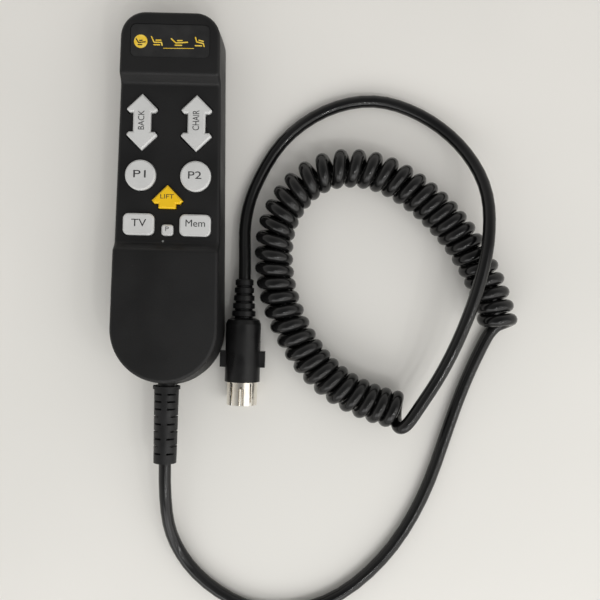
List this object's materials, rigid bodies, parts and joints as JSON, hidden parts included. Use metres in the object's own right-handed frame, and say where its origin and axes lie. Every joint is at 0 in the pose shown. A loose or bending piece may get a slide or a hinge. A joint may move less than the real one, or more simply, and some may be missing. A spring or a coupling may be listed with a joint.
{
  "type": "wired hand control",
  "caption": "Lift-chair hand control: black moulded handset with rocker arrows and push keys, curly cord and round multi-pin plug.",
  "frame": {"origin": "middle of the handset's back, on the surface it lies on", "axes": "+Y along the handset from the cord end to the badge, +Z out of the keys, +X to the right seen from above with the cord end nearest"},
  "size_m": [0.1759, 0.2612, 0.029],
  "materials": {
    "shell": "textured black ABS",
    "key_grey": "light grey ABS, satin",
    "key_yellow": "yellow ABS, satin",
    "badge": "printed black plate",
    "steel": "bright zinc-plated steel",
    "silicone": "translucent grey silicone",
    "board": "green solder mask",
    "component": "black epoxy",
    "lamp": "clear",
    "connector": "natural nylon",
    "carbon": "conductive carbon silicone",
    "cord": "glossy black PVC",
    "boot_rubber": "satin black PVC",
    "plug_rubber": "satin black PVC",
    "nickel": "nickel plate",
    "insert": "black nylon",
    "wire_red": "PVC",
    "wire_black": "PVC",
    "wire_green": "PVC",
    "wire_white": "PVC",
    "wire_yellow": "PVC"
  },
  "bodies": {
    "root": {"front_shell": "shell", "rear_shell": "shell", "badge_plate": "badge", "rocker_pin_back": "steel", "rocker_pin_chair": "steel", "dome_mat": "silicone", "circuit_board": "board", "board_components": "component", "indicator_lamp": "lamp", "light_pipe": "lamp", "wire_header": "connector", "wire_plug": "connector", "wire_red": "wire_red", "wire_black": "wire_black", "wire_green": "wire_green", "wire_white": "wire_white", "wire_yellow": "wire_yellow", "cable_clamp": "connector", "clamp_screws": "steel", "board_screws": "steel", "case_screws": "steel", "cord_boot": "boot_rubber", "cord_tail": "cord", "cord_lead_handset": "cord", "cord_coil": "cord", "cord_lead_plug": "cord", "plug_strain_relief": "plug_rubber", "plug_body": "plug_rubber", "plug_shell": "nickel", "plug_insert": "insert", "plug_pins": "nickel", "plug_cable": "cord"},
    "key_back_body": {"key_back": "key_grey", "pills_back": "carbon"},
    "key_chair_body": {"key_chair": "key_grey", "pills_chair": "carbon"},
    "key_preset_1_body": {"key_preset_1": "key_grey", "pill_preset_1": "carbon"},
    "key_preset_2_body": {"key_preset_2": "key_grey", "pill_preset_2": "carbon"},
    "key_lift_body": {"key_lift": "key_yellow", "pill_lift": "carbon"},
    "key_tv_body": {"key_tv": "key_grey", "pill_tv": "carbon"},
    "key_memory_body": {"key_memory": "key_grey", "pill_memory": "carbon"},
    "key_program_body": {"key_program": "key_grey", "pill_program": "carbon"}
  },
  "joints": [
    {"name": "key_back_rock", "type": "hinge", "parent": "root", "child": "key_back_body", "pos_m": [-0.01145, 0.0326, 0.017], "axis": [1, 0, 0], "range_deg": [-3.5, 3.5], "stiffness_Nm_per_rad": 0.4, "deforming": ["dome_mat"]},
    {"name": "key_chair_rock", "type": "hinge", "parent": "root", "child": "key_chair_body", "pos_m": [0.01145, 0.0326, 0.017], "axis": [1, 0, 0], "range_deg": [-3.5, 3.5], "stiffness_Nm_per_rad": 0.4, "deforming": ["dome_mat"]},
    {"name": "key_preset_1_press", "type": "slide", "parent": "root", "child": "key_preset_1_body", "axis": [0, 0, 1], "range_m": [-0.0008, 0], "stiffness_N_per_m": 2500, "springref_m": 0.0002, "deforming": ["dome_mat"]},
    {"name": "key_preset_2_press", "type": "slide", "parent": "root", "child": "key_preset_2_body", "axis": [0, 0, 1], "range_m": [-0.0008, 0], "stiffness_N_per_m": 2500, "springref_m": 0.0002, "deforming": ["dome_mat"]},
    {"name": "key_lift_press", "type": "slide", "parent": "root", "child": "key_lift_body", "axis": [0, 0, 1], "range_m": [-0.0008, 0], "stiffness_N_per_m": 2500, "springref_m": 0.0002, "deforming": ["dome_mat"]},
    {"name": "key_tv_press", "type": "slide", "parent": "root", "child": "key_tv_body", "axis": [0, 0, 1], "range_m": [-0.0008, 0], "stiffness_N_per_m": 2500, "springref_m": 0.0002, "deforming": ["dome_mat"]},
    {"name": "key_memory_press", "type": "slide", "parent": "root", "child": "key_memory_body", "axis": [0, 0, 1], "range_m": [-0.0008, 0], "stiffness_N_per_m": 2500, "springref_m": 0.0002, "deforming": ["dome_mat"]},
    {"name": "key_program_press", "type": "slide", "parent": "root", "child": "key_program_body", "axis": [0, 0, 1], "range_m": [-0.0008, 0], "stiffness_N_per_m": 2500, "springref_m": 0.0002, "deforming": ["dome_mat"]}
  ]
}
